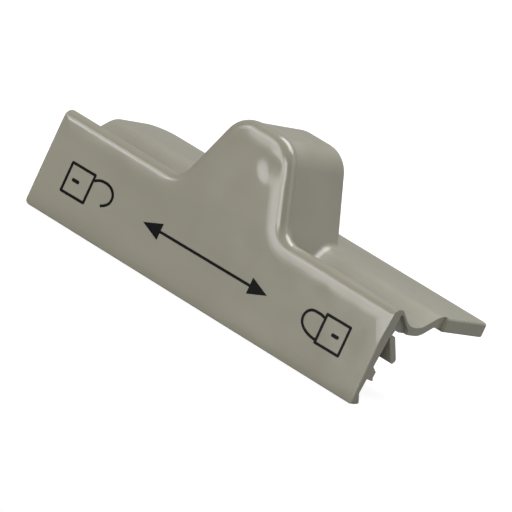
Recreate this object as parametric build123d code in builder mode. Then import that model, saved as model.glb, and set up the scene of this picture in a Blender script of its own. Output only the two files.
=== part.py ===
from build123d import *
import os
from math import asin, cos, degrees, radians, sin, tan

# Slider of a sliding door lock: one injection moulding in glossy plastic.
# X runs along the door rail, Y runs back from the printed face, and Z is up.
# Sizes are taken from the middle of the printed face's lower edge. The finished
# moulding is then moved so that its origin is on the underside of the ledge.

# Printed face and the rim round its top
length = 90.0
rim_height = 21.0
rim_depth = 4.2
rim_roll_width = 3.0
rim_roll_slope = 8.0
rim_roll_radius = 14.0
rim_front_radius = 2.0
rim_back_radius = 1.5
rim_foot_margin = 0.3
face_top_thickness = 3.0
face_low_thickness = 1.05
face_low_height = 2.6
face_bend_radius = 0.5
face_end_radius = 0.5
face_left_corner = 1.5
face_right_corner = 0.7
end_roll_foot = 11.7
end_roll_lean = 29.0
end_roll_radius = 25.0
end_roll_first_turn = 1.5
foot_lip_depth = 2.4
foot_lip_rise = 0.3
foot_lip_height = 0.65
foot_lip_radius = 0.12
foot_edge_radius = 0.25

# Thumb grip, a hollow hump at the middle of the length
grip_height = 38.7
grip_half_width = 14.1
grip_side_slope = 21.5
grip_depth = 22.9
grip_top_radius = 6.5
grip_valley_radius = 4.5
grip_inset = 0.25
grip_back_radius = 2.0
grip_back_lean = 3.6
grip_wall = 2.0
grip_foot_radius = 1.4

# Trough behind the rim
trough_floor = 17.7
trough_wall = 1.7
trough_front_slope = 36.0
trough_back_slope = 31.0
trough_back_foot = 12.0
trough_radius = 6.5
join_extra_turn = 6.0
join_overlap = 0.1

# Ledge, the flat tongue that slides into the keeper
ledge_top = 20.9
ledge_back = 34.2
ledge_thickness = 3.1
ledge_step = 0.5
ledge_step_start = 18.6
ledge_bend_radius = 0.5
ledge_overhang = 0.8
ledge_left_radius = 5.5
ledge_right_radius = 1.2
ledge_edge_radius = 0.5

# Slot under the rim, which lets the printed face spring open
slot_width = 1.4
slot_top = 18.9
slot_bevel_rise = 0.5
slot_bevel_run = 1.6
slot_bevel_radius = 1.0

# Shallow pocket in each end, under the rim and behind the face
end_pocket_depth = 0.8
end_pocket_roof = 1.1
end_pocket_skin = 0.5
end_pocket_back = 8.0
end_pocket_drop = 1.6
end_pocket_radius = 0.2

# Spring fingers behind the face, one flush with each end
finger_length = 12.0
finger_embed = 0.5
finger_slot_fill = 0.3
finger_shoulder_drop = 1.2
finger_thickness = 1.5
finger_tip_depth = 8.6
finger_tip_height = 10.3
finger_tip_radius = 0.6

# Guide rib low on the back of the face
rib_top = 8.5
rib_bottom = 5.8
rib_depth = 3.45
rib_shoulder_drop = 1.1
rib_neck_rise = 0.3
rib_neck_inset = 0.15
rib_nose_drop = 0.2
rib_nose_reach = 0.25
rib_heel_drop = 0.35

# How far cutters run past a surface, and how closely an edge has to lie to a level
cut_past = 1.0
close_by = 0.01

half = length / 2


def face_back(height):
    """Depth of the tapered back of the printed face at a height."""
    rise = (height - face_low_height) / (slot_top - face_low_height)
    return face_low_thickness + rise * (face_top_thickness - face_low_thickness)


def grip_section(inset, foot):
    """Corners of the thumb grip seen from the front, drawn in by inset, down to a foot height."""
    side = tan(radians(grip_side_slope))
    step = inset / cos(radians(grip_side_slope))
    foot_x = grip_half_width - step + (rim_height - foot) * side
    top = grip_height - inset
    top_x = grip_half_width - step - (top - rim_height) * side
    return [(-foot_x, foot), (-top_x, top), (top_x, top), (foot_x, foot)]


def lean_wedge(depth):
    """Wedge seen from the side that leans a wall at this depth forward above the ledge."""
    lean = (grip_height - ledge_top) * tan(radians(grip_back_lean))
    return [(depth, ledge_top), (depth - lean, grip_height), (depth, grip_height)]


def top_of_trough(depth):
    """Height of the trough's upper side at a depth, with its corners left sharp."""
    front = trough_floor + max(0, trough_front_foot - depth) * front_fall
    back = trough_floor + max(0, depth - trough_back_foot) * back_rise
    return min(max(front, back), ledge_top)


# Shallow roll of the face towards its rim: how far it falls back, and where it starts
roll_depth = rim_roll_width * tan(radians(rim_roll_slope))
roll_top = rim_height - rim_roll_width
roll_start = roll_top - rim_roll_radius * tan(radians(rim_roll_slope / 2))
rim_foot = roll_start - rim_foot_margin

# Where the front slope of the trough leaves the rounding of the rim
join_turn = radians(trough_front_slope + join_extra_turn)
join_y = rim_depth - rim_back_radius * (1 - sin(join_turn))
join_z = rim_height - rim_back_radius * (1 - cos(join_turn))
front_fall = tan(radians(trough_front_slope))
back_rise = tan(radians(trough_back_slope))
trough_front_foot = join_y + (join_z - trough_floor) / front_fall
ledge_start = trough_back_foot + (ledge_top - trough_floor) / back_rise

# Underside of the trough and the ledge
under_floor = trough_floor - trough_wall
under_back_foot = trough_back_foot + trough_wall * tan(radians(trough_back_slope / 2))
ledge_bottom = ledge_top - ledge_thickness
under_ledge = ledge_bottom + ledge_step
under_back = under_back_foot + (under_ledge - under_floor) / back_rise
slot_back = face_top_thickness + slot_width
slot_mouth = under_floor + slot_bevel_rise

os.makedirs("parts", exist_ok=True)

# Rim: the outline of the face with the grip. The face rolls back a little all along it,
# then the rim is rounded over at the front and the back.
with BuildPart() as rim:
    with BuildSketch(Plane.XZ):
        with BuildLine():
            FilletPolyline(
                (-half, rim_foot),
                (-half, rim_height),
                *grip_section(0, rim_height),
                (half, rim_height),
                (half, rim_foot),
                close=True,
                radius=[
                    0,
                    0,
                    grip_valley_radius,
                    grip_top_radius,
                    grip_top_radius,
                    grip_valley_radius,
                    0,
                    0,
                ],
            )
        make_face()
    extrude(amount=-rim_depth)
    upper = rim.edges().filter_by_position(Axis.Z, rim_height - close_by, grip_height + close_by)
    face = rim.faces().sort_by(Axis.Y)[0]
    chamfer(upper.group_by(Axis.Y)[0], rim_roll_width, roll_depth, reference=face)
    outer = rim.edges().filter_by_position(Axis.Y, roll_depth - close_by, roll_depth + close_by)
    fillet(outer, rim_front_radius)
    crease = rim.faces().sort_by(Axis.Y)[0].edges()
    fillet(crease.filter_by_position(Axis.Z, roll_top - close_by, grip_height), rim_roll_radius)
    upper = rim.edges().filter_by_position(Axis.Z, rim_height - close_by, grip_height + close_by)
    fillet(upper.group_by(Axis.Y)[-1], rim_back_radius)

# Body of the grip behind the rim, drawn in a little so that the rim stands proud
with BuildPart() as grip_body:
    body_radius = grip_top_radius - grip_inset
    with BuildSketch(Plane.XZ.offset(-rim_front_radius)):
        with BuildLine():
            FilletPolyline(
                *grip_section(grip_inset, ledge_bottom),
                close=True,
                radius=[0, body_radius, body_radius, 0],
            )
        make_face()
    extrude(amount=rim_front_radius - grip_depth)
    with BuildSketch(Plane.YZ):
        with BuildLine():
            Polyline(*lean_wedge(grip_depth), close=True)
        make_face()
    extrude(amount=grip_half_width, both=True, mode=Mode.SUBTRACT)
    back_wall = grip_body.faces().sort_by(Axis.Y).filter_by(
        lambda face: face.normal_at().Y > 0.9 and face.center().Z > ledge_top
    )
    fillet(back_wall.edges().sort_by(Axis.Z)[1:], grip_back_radius)
    # The sides go on down to the underside of the trough
    with BuildSketch(Plane.XZ.offset(-rim_front_radius)):
        with BuildLine():
            Polyline(
                grip_section(grip_inset, under_floor)[0],
                grip_section(grip_inset, rim_height)[0],
                grip_section(grip_inset, rim_height)[-1],
                grip_section(grip_inset, under_floor)[-1],
                close=True,
            )
        make_face()
    extrude(amount=rim_front_radius - trough_back_foot)

# Hollow of the grip, open below, with the same lean to its back wall
with BuildPart() as hollow:
    inner_radius = grip_top_radius - grip_wall
    with BuildSketch(Plane.XZ.offset(-face_top_thickness)):
        with BuildLine():
            FilletPolyline(
                *grip_section(grip_wall, under_floor - cut_past),
                close=True,
                radius=[0, inner_radius, inner_radius, 0],
            )
        make_face()
    extrude(amount=face_top_thickness + grip_wall - grip_depth)
    with BuildSketch(Plane.YZ):
        with BuildLine():
            Polyline(*lean_wedge(grip_depth - grip_wall), close=True)
        make_face()
    extrude(amount=grip_half_width, both=True, mode=Mode.SUBTRACT)

# Spring finger at the left end: a root that closes the slot's mouth, then the blade
finger_top = slot_mouth + finger_slot_fill
finger_shoulder = slot_mouth - finger_shoulder_drop
finger_root_y = face_back(finger_shoulder) - finger_embed
finger_run = finger_tip_depth - slot_back
finger_drop = finger_shoulder - finger_tip_height
finger_reach = (finger_run**2 + finger_drop**2) ** 0.5
blade_y = finger_thickness * finger_drop / finger_reach
blade_z = finger_thickness * finger_run / finger_reach
blade_root = finger_shoulder - blade_z + (slot_back - blade_y - finger_root_y) * finger_drop / finger_run

with BuildPart() as finger:
    with BuildSketch(Plane.YZ.offset(-half)):
        with BuildLine():
            FilletPolyline(
                (finger_root_y, finger_top),
                (slot_back + finger_embed, finger_top),
                (slot_back, finger_shoulder),
                (finger_tip_depth, finger_tip_height),
                (finger_tip_depth - blade_y, finger_tip_height - blade_z),
                (finger_root_y, blade_root),
                close=True,
                radius=[0, 0, 0, finger_tip_radius, finger_tip_radius, 0],
            )
        make_face()
    extrude(amount=finger_length)

# The roll of the face runs on a little way down its end edges. It starts along a line
# that leans away from the edge, and this piece cuts it at the right end.
end_lean = radians(end_roll_lean)
end_roll_length = (rim_height - end_roll_foot) / cos(end_lean)
end_roll_reach = (rim_height - end_roll_foot) * sin(end_lean) + cut_past
first_turn = radians(end_roll_first_turn)
last_turn = asin(end_roll_reach / end_roll_radius + sin(first_turn))
end_roll_line = Plane(
    origin=(half, 0, end_roll_foot),
    x_dir=(cos(end_lean), 0, sin(end_lean)),
    z_dir=(-sin(end_lean), 0, cos(end_lean)),
)

with BuildPart() as end_roll:
    with BuildSketch(end_roll_line.offset(-cut_past)):
        with BuildLine():
            rolled = CenterArc(
                (-end_roll_radius * sin(first_turn), end_roll_radius * cos(first_turn)),
                end_roll_radius,
                end_roll_first_turn - 90,
                degrees(last_turn) - end_roll_first_turn,
            )
            Polyline(rolled @ 1, ((rolled @ 1).X, -cut_past), (0, -cut_past), rolled @ 0)
        make_face()
    extrude(amount=end_roll_length + 2 * cut_past)

# Pocket in the right end, bounded by the face, the rim and the skin of the trough
skin_fall = end_pocket_skin / cos(radians(trough_front_slope))
pocket_top = rim_height - end_pocket_roof
pocket_turn_y = join_y + (join_z - skin_fall - pocket_top) / front_fall
pocket_back_z = join_z - skin_fall - (end_pocket_back - join_y) * front_fall
pocket_foot = pocket_back_z - end_pocket_drop

with BuildPart() as end_pocket:
    with BuildSketch(Plane.YZ.offset(half - end_pocket_depth)):
        with BuildLine():
            FilletPolyline(
                (face_top_thickness, pocket_foot),
                (face_top_thickness, pocket_top),
                (pocket_turn_y, pocket_top),
                (end_pocket_back, pocket_back_z),
                (end_pocket_back, pocket_foot),
                close=True,
                radius=[0, end_pocket_radius, end_pocket_radius, end_pocket_radius, 0],
            )
        make_face()
    extrude(amount=end_pocket_depth + cut_past)

# Corners of the long section, each with its own rounding: up the printed face, over
# the rim, down the trough, along the ledge, back below it and down behind the face
section_corners = [
    ((0, 0), foot_edge_radius),
    ((0, roll_start), 0),
    ((rim_front_radius, join_z), 0),
    ((join_y - join_overlap, join_z + join_overlap * front_fall), 0),
    ((trough_front_foot, trough_floor), trough_radius),
    ((trough_back_foot, trough_floor), trough_radius),
    ((ledge_start, ledge_top), trough_radius),
    ((ledge_back, ledge_top), 0),
    ((ledge_back, ledge_bottom), 0),
    ((ledge_step_start + ledge_step, ledge_bottom), 0),
    ((ledge_step_start, under_ledge), 0),
    ((under_back, under_ledge), ledge_bend_radius),
    ((under_back_foot, under_floor), trough_radius),
    ((slot_back + slot_bevel_run, under_floor), slot_bevel_radius),
    ((slot_back, slot_mouth), 0),
    ((face_back(slot_mouth), slot_mouth), 0),
    ((face_low_thickness, face_low_height), face_bend_radius),
    ((foot_lip_depth, foot_lip_height), foot_lip_radius),
    ((foot_lip_depth, foot_lip_rise), foot_lip_radius),
    ((face_low_thickness, 0), 0),
]

with BuildPart() as lock_slider:
    # Face, trough and ledge: one section, carried along the whole length
    with BuildSketch(Plane.YZ.offset(-half)):
        with BuildLine():
            FilletPolyline(
                *[corner for corner, rounding in section_corners],
                close=True,
                radius=[rounding for corner, rounding in section_corners],
            )
        make_face()
    extrude(amount=length)
    # The ledge runs on a little past the right end, as the tip of the bolt
    with BuildSketch(Plane.YZ.offset(half)):
        with Locations((ledge_step_start + ledge_step, ledge_top)):
            Rectangle(
                ledge_back - ledge_step_start - ledge_step,
                ledge_thickness,
                align=(Align.MIN, Align.MAX),
            )
    extrude(amount=ledge_overhang)
    add(rim.part)
    add(grip_body.part)

    # Rounded foot where the grip stands in the trough and on the ledge
    foot_ring = [
        edge
        for edge in lock_slider.edges()
        if abs(edge.center().X) < grip_half_width + grip_foot_radius
        and rim_depth < edge.center().Y < grip_depth + close_by
        and top_of_trough(edge.center().Y) - trough_wall / 4 < edge.center().Z
        and edge.center().Z < ledge_top + close_by
    ]
    fillet(foot_ring, grip_foot_radius)
    add(hollow.part, mode=Mode.SUBTRACT)

    # Slot under the rim, round at its top
    with BuildSketch(Plane.YZ.offset(-half)):
        with Locations((face_top_thickness + slot_width / 2, slot_top - slot_width / 2)):
            Circle(slot_width / 2)
            Rectangle(
                slot_width,
                slot_top - slot_width / 2 - slot_mouth + cut_past,
                align=(Align.CENTER, Align.MAX),
            )
    extrude(amount=length, mode=Mode.SUBTRACT)

    # Corners of the ledge seen from above, then the edges round its free end
    corners = lock_slider.edges().filter_by(Axis.Z).filter_by_position(
        Axis.Y, ledge_back - close_by, ledge_back + close_by
    )
    fillet(corners.sort_by(Axis.X)[0], ledge_left_radius)
    corners = lock_slider.edges().filter_by(Axis.Z).filter_by_position(
        Axis.Y, ledge_back - close_by, ledge_back + close_by
    )
    fillet(corners.sort_by(Axis.X)[-1], ledge_right_radius)
    tongue = [
        edge
        for edge in lock_slider.edges()
        if min(abs(edge.center().Z - ledge_top), abs(edge.center().Z - ledge_bottom)) < close_by
        and edge.center().Y > ledge_step_start + ledge_step + close_by
        and (edge.center().Y > ledge_back - ledge_left_radius or edge.center().X > half + close_by)
    ]
    fillet(tongue, ledge_edge_radius)

    # Guide rib along the whole face
    with BuildSketch(Plane.YZ.offset(-half)):
        with BuildLine():
            Polyline(
                (face_low_thickness, rib_top),
                (face_back(rib_top), rib_top),
                (rib_depth, rib_top - rib_shoulder_drop),
                (rib_depth - rib_neck_inset, rib_bottom + rib_neck_rise),
                (rib_depth + rib_nose_reach, rib_bottom - rib_nose_drop),
                (rib_depth - rib_neck_inset, rib_bottom - rib_heel_drop),
                (face_low_thickness, rib_bottom),
                close=True,
            )
        make_face()
    extrude(amount=length)
    # Spring fingers, one flush with each end
    add(finger.part)
    add(mirror(finger.part, about=Plane.YZ, mode=Mode.PRIVATE))

    # At both ends: the roll of the face, the pocket, and the rounded lower corners
    for cutter in (end_roll.part, end_pocket.part):
        add(cutter, mode=Mode.SUBTRACT)
        add(mirror(cutter, about=Plane.YZ, mode=Mode.PRIVATE), mode=Mode.SUBTRACT)
    with BuildSketch(Plane.XZ):
        for side, corner_radius in ((-1, face_left_corner), (1, face_right_corner)):
            with Locations((side * half, 0)):
                Rectangle(2 * corner_radius, 2 * corner_radius)
            with Locations((side * (half - corner_radius), corner_radius)):
                Circle(corner_radius, mode=Mode.SUBTRACT)
    extrude(amount=-rim_depth, mode=Mode.SUBTRACT)
    # Softened upright edges at the two ends of the printed face
    with BuildSketch():
        for side in (-1, 1):
            with Locations((side * half, 0)):
                Rectangle(2 * face_end_radius, 2 * face_end_radius)
            with Locations((side * (half - face_end_radius), face_end_radius)):
                Circle(face_end_radius, mode=Mode.SUBTRACT)
    extrude(amount=rim_height, mode=Mode.SUBTRACT)

# The origin goes to the middle of the ledge's underside, where it rides on the rail
ledge_middle = (ledge_step_start + ledge_step + ledge_back) / 2
lock_slider.part.position = (0, -ledge_middle, -ledge_bottom)
lock_slider.part.label = "lock_slider"
export_step(lock_slider.part, "parts/lock_slider.step")
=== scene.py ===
import math

import bpy
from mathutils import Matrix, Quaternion, Vector


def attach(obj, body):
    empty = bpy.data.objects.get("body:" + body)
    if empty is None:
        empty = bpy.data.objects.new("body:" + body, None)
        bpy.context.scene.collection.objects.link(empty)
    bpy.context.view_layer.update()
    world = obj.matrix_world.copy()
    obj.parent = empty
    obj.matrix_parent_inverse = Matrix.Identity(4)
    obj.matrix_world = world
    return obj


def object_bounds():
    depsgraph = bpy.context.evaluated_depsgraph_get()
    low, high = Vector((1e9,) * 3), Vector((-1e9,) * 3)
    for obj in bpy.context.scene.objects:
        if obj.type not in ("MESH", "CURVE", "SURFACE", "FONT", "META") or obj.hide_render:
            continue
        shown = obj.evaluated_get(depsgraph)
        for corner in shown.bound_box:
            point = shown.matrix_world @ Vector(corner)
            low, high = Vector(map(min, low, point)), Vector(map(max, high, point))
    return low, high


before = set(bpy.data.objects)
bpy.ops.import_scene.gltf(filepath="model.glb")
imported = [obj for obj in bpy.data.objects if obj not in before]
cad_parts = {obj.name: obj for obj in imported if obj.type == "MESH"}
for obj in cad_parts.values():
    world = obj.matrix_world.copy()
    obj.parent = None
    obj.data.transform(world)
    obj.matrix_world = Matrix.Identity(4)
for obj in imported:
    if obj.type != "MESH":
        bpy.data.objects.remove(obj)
cad_low, cad_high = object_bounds()

# Slider: one injection moulding in a glossy warm grey plastic, coloured right through.
# Its skin has faint flow marks, a slight waviness from the mould's polish and a shallow
# sink mark on the grip. Behind the rim the mould is polished less, so the skin is duller.
face_y = cad_low.y
plastic_dark = (0.222, 0.213, 0.165)
plastic_pale = (0.246, 0.236, 0.184)
flow_mark_scale = (25.0, 90.0, 90.0)
least_roughness = 0.15
most_roughness = 0.24
duller_by = 0.12
polish_end_y = face_y + 0.00255
dull_start_y = face_y + 0.00415
wave_height = 0.0003
sink_centre = (0.0056, face_y, cad_high.z - 0.0067)
sink_reach = (0.0046, 0.0030, 0.0040)
sink_depth = 0.00027
grain_height = 0.00002


def noise_from(tree, vector, scale, detail):
    """Noise over the places that a vector gives."""
    noise = tree.nodes.new("ShaderNodeTexNoise")
    noise.inputs["Scale"].default_value = scale
    noise.inputs["Detail"].default_value = detail
    tree.links.new(vector, noise.inputs["Vector"])
    return noise.outputs["Fac"]


def tones_from(tree, factor, dark, pale, dark_until=0.0, pale_from=1.0):
    """Colour between a dark and a pale tone, as a factor rises."""
    tones = tree.nodes.new("ShaderNodeValToRGB")
    low_end, high_end = tones.color_ramp.elements
    low_end.position, low_end.color = dark_until, (*dark, 1.0)
    high_end.position, high_end.color = pale_from, (*pale, 1.0)
    tree.links.new(factor, tones.inputs["Fac"])
    return tones.outputs["Color"]


def ranged(tree, value, low, high, from_low=0.0, from_high=1.0, curve="LINEAR"):
    """Value brought from one range into another, which runs from low to high."""
    change = tree.nodes.new("ShaderNodeMapRange")
    change.interpolation_type = curve
    change.inputs["From Min"].default_value = from_low
    change.inputs["From Max"].default_value = from_high
    change.inputs["To Min"].default_value = low
    change.inputs["To Max"].default_value = high
    tree.links.new(value, change.inputs["Value"])
    return change.outputs["Result"]


def maths(tree, operation, first, second):
    """Sum, product or larger of two values. The second may be a plain number."""
    step = tree.nodes.new("ShaderNodeMath")
    step.operation = operation
    tree.links.new(first, step.inputs[0])
    if isinstance(second, float):
        step.inputs[1].default_value = second
    else:
        tree.links.new(second, step.inputs[1])
    return step.outputs["Value"]


def relief(tree, height, strength, distance, over=None, pressed_in=False):
    """Relief of a given height on the skin, laid over another relief."""
    bump = tree.nodes.new("ShaderNodeBump")
    bump.invert = pressed_in
    bump.inputs["Strength"].default_value = strength
    bump.inputs["Distance"].default_value = distance
    tree.links.new(height, bump.inputs["Height"])
    if over is not None:
        tree.links.new(over, bump.inputs["Normal"])
    return bump.outputs["Normal"]


def plastic_colour(tree, place):
    """Warm grey with faint marks, drawn out the way the melt flowed along the mould."""
    flow_stretch = tree.nodes.new("ShaderNodeMapping")
    flow_stretch.inputs["Scale"].default_value = flow_mark_scale
    tree.links.new(place, flow_stretch.inputs["Vector"])
    flow_marks = noise_from(tree, flow_stretch.outputs["Vector"], scale=1.0, detail=3.0)
    return tones_from(tree, flow_marks, plastic_dark, plastic_pale, dark_until=0.30, pale_from=0.72)


def plastic_roughness(tree, place):
    """Gloss that varies a little from place to place and is less behind the rim."""
    rubbing = noise_from(tree, place, scale=160.0, detail=4.0)
    gloss = ranged(tree, rubbing, least_roughness, most_roughness, from_low=0.3, from_high=0.7)
    split = tree.nodes.new("ShaderNodeSeparateXYZ")
    tree.links.new(place, split.inputs["Vector"])
    duller = ranged(tree, split.outputs["Y"], 0.0, duller_by, polish_end_y, dull_start_y, "SMOOTHSTEP")
    return maths(tree, "ADD", gloss, duller)


def plastic_relief(tree, place):
    """Waviness of the polished mould, the sink mark on the grip and a very fine grain."""
    waves = noise_from(tree, place, scale=110.0, detail=1.0)
    wavy = relief(tree, waves, strength=0.35, distance=wave_height)
    sink_place = tree.nodes.new("ShaderNodeMapping")
    sink_place.vector_type = "TEXTURE"
    sink_place.inputs["Location"].default_value = sink_centre
    sink_place.inputs["Scale"].default_value = sink_reach
    sink_round = tree.nodes.new("ShaderNodeTexGradient")
    sink_round.gradient_type = "SPHERICAL"
    tree.links.new(place, sink_place.inputs["Vector"])
    tree.links.new(sink_place.outputs["Vector"], sink_round.inputs["Vector"])
    sink_dish = ranged(tree, sink_round.outputs["Fac"], low=0.0, high=1.0, curve="SMOOTHERSTEP")
    sunk = relief(tree, sink_dish, strength=1.0, distance=sink_depth, over=wavy, pressed_in=True)
    grain = noise_from(tree, place, scale=2600.0, detail=2.0)
    return relief(tree, grain, strength=0.12, distance=grain_height, over=sunk)


def grey_beige_plastic():
    """The moulding's plastic."""
    material = bpy.data.materials.new("grey_beige_plastic")
    material.use_nodes = True
    tree = material.node_tree
    shader = tree.nodes["Principled BSDF"]
    shader.inputs["IOR"].default_value = 1.6
    place = tree.nodes.new("ShaderNodeTexCoord").outputs["Object"]
    tree.links.new(plastic_colour(tree, place), shader.inputs["Base Color"])
    tree.links.new(plastic_roughness(tree, place), shader.inputs["Roughness"])
    tree.links.new(plastic_relief(tree, place), shader.inputs["Normal"])
    return material


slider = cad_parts["lock_slider"]
slider.data.materials.clear()
slider.data.materials.append(grey_beige_plastic())

# Signs on the face: black pad-printed ink, a thin film that lies on the plastic.
# An open padlock is at the left, an arrow with two heads in the middle and a closed
# padlock at the right. The row of signs rises a little towards the right.
face_foot_z = cad_low.z
ink_thickness = 0.00003
ink_bite = 0.00001
ink_stroke = 0.00060
signs_rise = 0.0105
ink_dark = (0.002, 0.002, 0.003)
ink_pale = (0.006, 0.006, 0.006)
ink_smooth = 0.16
ink_rough = 0.28

padlock_size = 0.00620
padlock_height = 0.00963
open_padlock_x = -0.03495
closed_padlock_x = 0.03450
padlock_outer_corner = 0.6 * ink_stroke
padlock_inner_corner = 0.1 * ink_stroke
shackle_root = (padlock_size + ink_stroke) / 2
keyhole_length = 0.00195
keyhole_width = 0.00078
keyhole_radius = 0.00035

arrow_tip = 0.0169
arrow_head = 0.0047
arrow_half_width = 0.00178
arrow_height = 0.00960


def pad_ink():
    """The ink: a black film that mirrors less than the plastic does."""
    material = bpy.data.materials.new("pad_print_ink")
    material.use_nodes = True
    tree = material.node_tree
    shader = tree.nodes["Principled BSDF"]
    shader.inputs["Specular IOR Level"].default_value = 0.12
    place = tree.nodes.new("ShaderNodeTexCoord").outputs["Object"]
    film = noise_from(tree, place, scale=1800.0, detail=3.0)
    tree.links.new(tones_from(tree, film, ink_dark, ink_pale), shader.inputs["Base Color"])
    tree.links.new(ranged(tree, film, ink_smooth, ink_rough), shader.inputs["Roughness"])
    return material


printed_ink = pad_ink()


def area_fill(outline):
    """Ink all over a closed outline that runs anticlockwise."""
    return outline, [tuple(range(len(outline)))]


def band_fill(right, left, closed):
    """Ink between two rows of points, which are the right and the left edge of the band."""
    count = len(right)
    faces = []
    for i in range(count if closed else count - 1):
        j = (i + 1) % count
        faces.append((i, j, count + j, count + i))
    return right + left, faces


def on_face(x, height, depth):
    """Point at a height above the foot of the face and a depth behind the film's front."""
    return (x, face_y - ink_thickness + depth, face_foot_z + height + signs_rise * x)


def ink_film_piece(name, fills):
    """Closed film of ink from flat fills: a front, a back in the plastic and edges between."""
    points, faces = [], []
    for flat_points, flat_faces in fills:
        front = len(points)
        back = front + len(flat_points)
        for depth in (0.0, ink_thickness + ink_bite):
            points += [on_face(x, height, depth) for x, height in flat_points]
        sides = [(face[k - 1], face[k]) for face in flat_faces for k in range(len(face))]
        inside = set(sides)
        faces += [tuple(front + i for i in face) for face in flat_faces]
        faces += [tuple(back + i for i in reversed(face)) for face in flat_faces]
        faces += [(front + j, front + i, back + i, back + j) for i, j in sides if (j, i) not in inside]
    data = bpy.data.meshes.new(name)
    data.from_pydata(points, [], faces)
    piece = bpy.data.objects.new(name, data)
    bpy.context.scene.collection.objects.link(piece)
    data.materials.append(printed_ink)
    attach(piece, "root")


def rounded_box(centre, width, height, radius, steps=6):
    """Outline of a box with rounded corners, anticlockwise."""
    points = []
    for quarter in range(4):
        side_x = 1 if quarter in (0, 3) else -1
        side_z = 1 if quarter in (0, 1) else -1
        for step in range(steps + 1):
            angle = (quarter + step / steps) * math.pi / 2
            points.append((
                centre[0] + side_x * (width / 2 - radius) + radius * math.cos(angle),
                centre[1] + side_z * (height / 2 - radius) + radius * math.sin(angle),
            ))
    return points


def smooth_line(knots, steps=10):
    """Points along cubic curves. Each knot is a point with its handle towards the next."""
    points = []
    for (start, leave), (end, arrive) in zip(knots, knots[1:]):
        for step in range(steps):
            t = step / steps
            a, b, c, d = (1 - t) ** 3, 3 * t * (1 - t) ** 2, 3 * t * t * (1 - t), t ** 3
            points.append(tuple(
                a * start[k] + b * (start[k] + leave[k]) + c * (end[k] - arrive[k]) + d * end[k]
                for k in (0, 1)
            ))
    points.append(knots[-1][0])
    return points


def stroke_fill(points):
    """Line of ink along a row of points."""
    left, right = [], []
    for i, (x, z) in enumerate(points):
        x0, z0 = points[max(i - 1, 0)]
        x1, z1 = points[min(i + 1, len(points) - 1)]
        run = math.hypot(x1 - x0, z1 - z0)
        side_x = -(z1 - z0) / run * ink_stroke / 2
        side_z = (x1 - x0) / run * ink_stroke / 2
        left.append((x + side_x, z + side_z))
        right.append((x - side_x, z - side_z))
    return band_fill(right, left, closed=False)


def padlock_print(name, centre_x, keyhole_shift, shackle_knots):
    """Padlock: a square body drawn as a line, its keyhole and the bent shackle at its side."""
    centre = (centre_x, padlock_height)
    outer_size = padlock_size + ink_stroke
    inner_size = padlock_size - ink_stroke
    outer = rounded_box(centre, outer_size, outer_size, padlock_outer_corner)
    inner = rounded_box(centre, inner_size, inner_size, padlock_inner_corner)
    keyhole_centre = (centre_x + keyhole_shift, padlock_height)
    keyhole = rounded_box(keyhole_centre, keyhole_length, keyhole_width, keyhole_radius)
    shackle = smooth_line([
        ((centre_x + x, padlock_height + z), handle) for (x, z), handle in shackle_knots
    ])
    ink_film_piece(name, [
        band_fill(outer, inner, closed=True),
        area_fill(keyhole),
        stroke_fill(shackle),
    ])


padlock_print("open_padlock_print", open_padlock_x, keyhole_shift=-0.0007, shackle_knots=[
    ((shackle_root, 0.0020), (0.0010, 0.0007)),
    ((0.00625, 0.00285), (0.0014, 0.0)),
    ((0.00905, 0.0005), (0.0, -0.0014)),
    ((0.00705, -0.0018), (-0.0007, -0.0003)),
])
padlock_print("closed_padlock_print", closed_padlock_x, keyhole_shift=0.0006, shackle_knots=[
    ((-shackle_root, 0.00215), (-0.0009, 0.0003)),
    ((-0.00570, 0.00242), (-0.0013, 0.0)),
    ((-0.00802, 0.0002), (0.0, -0.0014)),
    ((-0.00550, -0.00228), (0.0010, -0.0003)),
    ((-shackle_root, -0.0026), (0.0005, 0.0)),
])

arrow_neck = arrow_tip - arrow_head
arrow_lower_half = [
    (-arrow_tip, 0.0),
    (-arrow_neck, -arrow_half_width),
    (-arrow_neck, -ink_stroke / 2),
    (arrow_neck, -ink_stroke / 2),
    (arrow_neck, -arrow_half_width),
]
arrow_upper_half = [(-x, -z) for x, z in arrow_lower_half]
arrow_outline = [(x, arrow_height + z) for x, z in arrow_lower_half + arrow_upper_half]
ink_film_piece("slide_arrow_print", [area_fill(arrow_outline)])

# Floor: a pale studio table just under the slider's foot, whose front edge is a finger's
# width before the printed face. It shows white to the camera and, weaker, in mirror
# rays, and it keeps the slider's shadow.
table_reach = 3.0
table_lead = 0.012
table_gap = 0.0001
table_edge_y = face_y - table_lead
table_z = face_foot_z - table_gap
table_grey = 0.27
table_white = 0.90
table_mirrored_white = 0.10

table_data = bpy.data.meshes.new("studio_table")
table_data.from_pydata(
    [
        (-table_reach, table_edge_y, table_z),
        (table_reach, table_edge_y, table_z),
        (table_reach, table_reach, table_z),
        (-table_reach, table_reach, table_z),
    ],
    [],
    [(0, 1, 2, 3)],
)
table = bpy.data.objects.new("studio_table", table_data)
bpy.context.scene.collection.objects.link(table)


def white_shown(tree, straight_white, mirrored_white):
    """White of one strength to the camera and through glass, and of another off a gloss."""
    ray = tree.nodes.new("ShaderNodeLightPath").outputs
    straight = maths(tree, "MAXIMUM", ray["Is Camera Ray"], ray["Is Transmission Ray"])
    seen = maths(tree, "MULTIPLY", straight, straight_white)
    mirrored = maths(tree, "MULTIPLY", ray["Is Glossy Ray"], mirrored_white)
    return maths(tree, "ADD", seen, mirrored)


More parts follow.
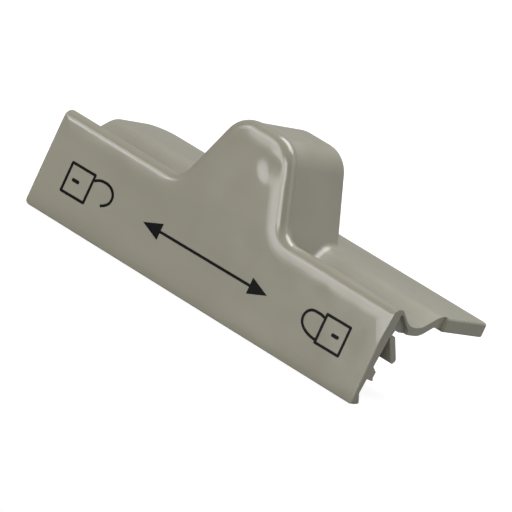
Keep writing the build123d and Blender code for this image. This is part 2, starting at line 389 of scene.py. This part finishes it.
def matte_table():
    """The table's matte paint."""
    material = bpy.data.materials.new("table_matte")
    material.use_nodes = True
    tree = material.node_tree
    shader = tree.nodes["Principled BSDF"]
    shader.inputs["Base Color"].default_value = (table_grey, table_grey, table_grey, 1.0)
    shader.inputs["Roughness"].default_value = 0.9
    shader.inputs["Specular IOR Level"].default_value = 0.0
    shader.inputs["Emission Color"].default_value = (1.0, 1.0, 1.0, 1.0)
    white = white_shown(tree, table_white, table_mirrored_white)
    tree.links.new(white, shader.inputs["Emission Strength"])
    return material


table_data.materials.append(matte_table())

# Camera: a long lens a metre and a half away, 32 degrees round towards the right end
# and 11 degrees up. It is rolled, so the slider hangs down to the right in the picture.
camera_azimuth = 31.961
camera_elevation = 10.629
camera_roll = 24.933
camera_distance = 1.5325
camera_target = Vector((0.000824, -0.010903, -0.005761))


def aim_at_slider(thing, azimuth, elevation, distance, roll):
    """Stand a camera or a lamp off the slider and turn it there. Azimuth 0 is before the face."""
    turn, rise = math.radians(azimuth), math.radians(elevation)
    way_out = Vector((math.sin(turn) * math.cos(rise), -math.cos(turn) * math.cos(rise), math.sin(rise)))
    thing.location = camera_target + way_out * distance
    level_turn = (-way_out).to_track_quat("-Z", "Y")
    thing.rotation_euler = (level_turn @ Quaternion((0, 0, 1), math.radians(roll))).to_euler()


camera_data = bpy.data.cameras.new("photo_camera")
camera_data.sensor_width = 36.0
camera_data.lens = 537.37
camera_data.clip_end = 20.0
camera = bpy.data.objects.new("photo_camera", camera_data)
aim_at_slider(camera, camera_azimuth, camera_elevation, camera_distance, camera_roll)
bpy.context.scene.collection.objects.link(camera)
bpy.context.scene.camera = camera
bpy.context.scene.view_settings.view_transform = "Standard"

# Studio light: a dim pale room all round and five soft boxes. The images of the tilted
# box in front and of the box left of it make the bright bands along the rim and the
# grip. The others, in front at the right, past the right end and overhead, fill in evenly.
room_light = 0.14
room_white = 1.0
room_mirrored_white = 0.38

world = bpy.data.worlds.new("studio_room")
world.use_nodes = True
bpy.context.scene.world = world
room = world.node_tree.nodes["Background"]
room.inputs["Color"].default_value = (1.0, 1.0, 1.0, 1.0)
extra_white = white_shown(world.node_tree, room_white - room_light, room_mirrored_white - room_light)
room_strength = maths(world.node_tree, "ADD", extra_white, room_light)
world.node_tree.links.new(room_strength, room.inputs["Strength"])


def soft_box(name, azimuth, elevation, distance, size, radiance, tilt=0.0):
    """Area lamp of a given width and height that faces the slider, unseen by the camera."""
    width, height = size
    lamp_data = bpy.data.lights.new(name, "AREA")
    lamp_data.shape = "RECTANGLE"
    lamp_data.size = width
    lamp_data.size_y = height
    lamp_data.energy = radiance * math.pi * width * height
    lamp = bpy.data.objects.new(name, lamp_data)
    aim_at_slider(lamp, azimuth, elevation, distance, tilt)
    lamp.visible_camera = False
    bpy.context.scene.collection.objects.link(lamp)


soft_box("front_soft_box", -19.2, 5.0, distance=0.50, size=(0.210, 0.466), radiance=4.1, tilt=36)
soft_box("rim_soft_box", -43, 22, distance=0.50, size=(0.105, 0.31), radiance=3.7)
soft_box("fill_soft_box", 18, 8, distance=0.80, size=(0.50, 0.35), radiance=5.2)
soft_box("right_soft_box", 120, 25, distance=0.70, size=(0.55, 0.55), radiance=0.9)
soft_box("overhead_soft_box", 175, 70, distance=0.80, size=(0.70, 0.60), radiance=6.0)
